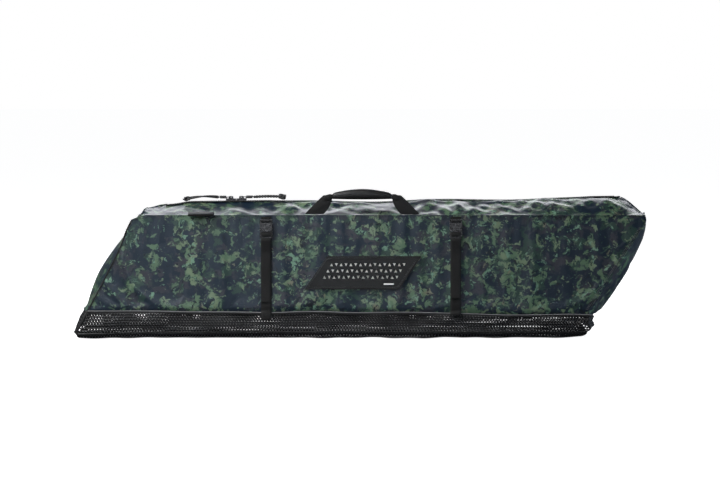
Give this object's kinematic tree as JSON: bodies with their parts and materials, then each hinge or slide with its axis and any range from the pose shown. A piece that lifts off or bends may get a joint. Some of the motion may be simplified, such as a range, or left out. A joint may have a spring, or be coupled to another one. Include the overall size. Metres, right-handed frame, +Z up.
{
  "type": "wet gear bag",
  "caption": "Long soft bag shaped like a leaning parallelogram, with a mesh drain tray, a top zip, a carry handle and compression straps for wet sports gear.",
  "frame": {"origin": "middle of the footprint, on the ground, halfway between the front and back seams", "axes": "+X along the bag towards the end that leans out, -Y towards the side with the straps and vent patch, +Z up"},
  "size_m": [1.2081, 0.2297, 0.313],
  "materials": {
    "camo_fabric": "satin coated tarpaulin, dark camouflage",
    "mesh": "coated black mesh",
    "piping": "matt black cord",
    "hem_tape": "satin black tape",
    "moulded_rubber": "moulded, satin black",
    "zip_tape": "woven black",
    "zip_teeth": "moulded black",
    "slider_metal": "black coated",
    "cord": "braided black",
    "webbing": "woven black nylon",
    "buckle_plastic": "moulded black"
  },
  "bodies": {
    "bag": {"front_panel": "camo_fabric", "back_panel": "camo_fabric", "left_end_panel": "camo_fabric", "right_end_panel": "camo_fabric", "left_top_cap": "camo_fabric", "right_top_cap": "camo_fabric", "front_mesh_wall": "mesh", "back_mesh_wall": "mesh", "left_mesh_end": "mesh", "right_mesh_end": "mesh", "mesh_floor": "mesh", "front_piping": "piping", "back_piping": "piping", "front_hem_tape": "hem_tape", "back_hem_tape": "hem_tape", "vent_patch": "moulded_rubber", "zip_end_stops": "zip_teeth", "left_strap": "webbing", "right_strap": "webbing", "left_strap_anchor": "webbing", "right_strap_anchor": "webbing", "left_buckle_housing": "buckle_plastic", "right_buckle_housing": "buckle_plastic", "left_buckle_base": "buckle_plastic", "right_buckle_base": "buckle_plastic"},
    "front_flap": {"front_flap": "camo_fabric", "zip_tape_front": "zip_tape", "zip_teeth_front": "zip_teeth"},
    "back_flap": {"back_flap": "camo_fabric", "zip_tape_back": "zip_tape", "zip_teeth_back": "zip_teeth"},
    "left_slider": {"left_slider": "slider_metal"},
    "right_slider": {"right_slider": "slider_metal"},
    "left_pull": {"left_pull_tab": "slider_metal"},
    "right_pull": {"right_pull_tab": "slider_metal"},
    "left_cord": {"left_pull_cord": "cord"},
    "right_cord": {"right_pull_cord": "cord"},
    "handle": {"handle_webbing": "webbing", "handle_grip": "moulded_rubber"},
    "grab_tab": {"grab_tab": "webbing"},
    "left_tail": {"left_strap_tail": "webbing"},
    "right_tail": {"right_strap_tail": "webbing"},
    "left_outer_prong": {"left_buckle_outer_prong": "buckle_plastic"},
    "left_inner_prong": {"left_buckle_inner_prong": "buckle_plastic"},
    "right_outer_prong": {"right_buckle_outer_prong": "buckle_plastic"},
    "right_inner_prong": {"right_buckle_inner_prong": "buckle_plastic"}
  },
  "joints": [
    {"name": "front_flap_lift", "type": "hinge", "parent": "bag", "child": "front_flap", "pos_m": [0, -0.1, 0.257], "axis": [1, 0, 0], "range_deg": [0, 40]},
    {"name": "back_flap_lift", "type": "hinge", "parent": "bag", "child": "back_flap", "pos_m": [0, 0.1, 0.257], "axis": [-1, 0, 0], "range_deg": [0, 120]},
    {"name": "left_slider_slide", "type": "slide", "parent": "front_flap", "child": "left_slider", "axis": [-0.9999, 0, -0.0126], "range_m": [0, 0.105]},
    {"name": "right_slider_slide", "type": "slide", "parent": "front_flap", "child": "right_slider", "axis": [0.9999, 0, 0.0126], "range_m": [0, 0.765]},
    {"name": "left_pull_swing", "type": "hinge", "parent": "left_slider", "child": "left_pull", "pos_m": [-0.27108, 0, 0.29124], "axis": [0, 1, 0], "range_deg": [0, 90]},
    {"name": "right_pull_swing", "type": "hinge", "parent": "right_slider", "child": "right_pull", "pos_m": [-0.24908, 0, 0.29152], "axis": [0, -1, 0], "range_deg": [0, 90]},
    {"name": "left_cord_swing", "type": "hinge", "parent": "left_pull", "child": "left_cord", "pos_m": [-0.29907, 0, 0.29089], "axis": [-0.0126, 0, 0.9999], "range_deg": [-60, 60]},
    {"name": "right_cord_swing", "type": "hinge", "parent": "right_pull", "child": "right_cord", "pos_m": [-0.22108, 0, 0.29187], "axis": [-0.0126, 0, 0.9999], "range_deg": [-60, 60]},
    {"name": "handle_flop", "type": "hinge", "parent": "bag", "child": "handle", "pos_m": [0, -0.1, 0.257], "axis": [1, 0, 0], "range_deg": [-35, 150]},
    {"name": "grab_tab_flex", "type": "hinge", "parent": "bag", "child": "grab_tab", "pos_m": [0, -0.1, 0.257], "axis": [1, 0, 0], "range_deg": [-60, 60], "stiffness_Nm_per_rad": 0.02},
    {"name": "left_tail_lift", "type": "hinge", "parent": "bag", "child": "left_tail", "pos_m": [-0.194, -0.11275, 0.2116], "axis": [-1, 0, 0], "range_deg": [0, 80]},
    {"name": "right_tail_lift", "type": "hinge", "parent": "bag", "child": "right_tail", "pos_m": [0.198, -0.11275, 0.2116], "axis": [-1, 0, 0], "range_deg": [0, 80]},
    {"name": "left_outer_prong_squeeze", "type": "hinge", "parent": "bag", "child": "left_outer_prong", "pos_m": [-0.20185, -0.1094, 0.2296], "axis": [0, 1, 0], "range_deg": [0, 9], "stiffness_Nm_per_rad": 0.05},
    {"name": "left_inner_prong_squeeze", "type": "hinge", "parent": "bag", "child": "left_inner_prong", "pos_m": [-0.18615, -0.1094, 0.2296], "axis": [0, -1, 0], "range_deg": [0, 9], "stiffness_Nm_per_rad": 0.05},
    {"name": "right_outer_prong_squeeze", "type": "hinge", "parent": "bag", "child": "right_outer_prong", "pos_m": [0.20585, -0.1094, 0.2296], "axis": [0, -1, 0], "range_deg": [0, 9], "stiffness_Nm_per_rad": 0.05},
    {"name": "right_inner_prong_squeeze", "type": "hinge", "parent": "bag", "child": "right_inner_prong", "pos_m": [0.19015, -0.1094, 0.2296], "axis": [0, 1, 0], "range_deg": [0, 9], "stiffness_Nm_per_rad": 0.05}
  ],
  "couplings": [
    {"joint": "left_inner_prong_squeeze", "follows": "left_outer_prong_squeeze", "ratio": 1},
    {"joint": "right_inner_prong_squeeze", "follows": "right_outer_prong_squeeze", "ratio": 1}
  ]
}
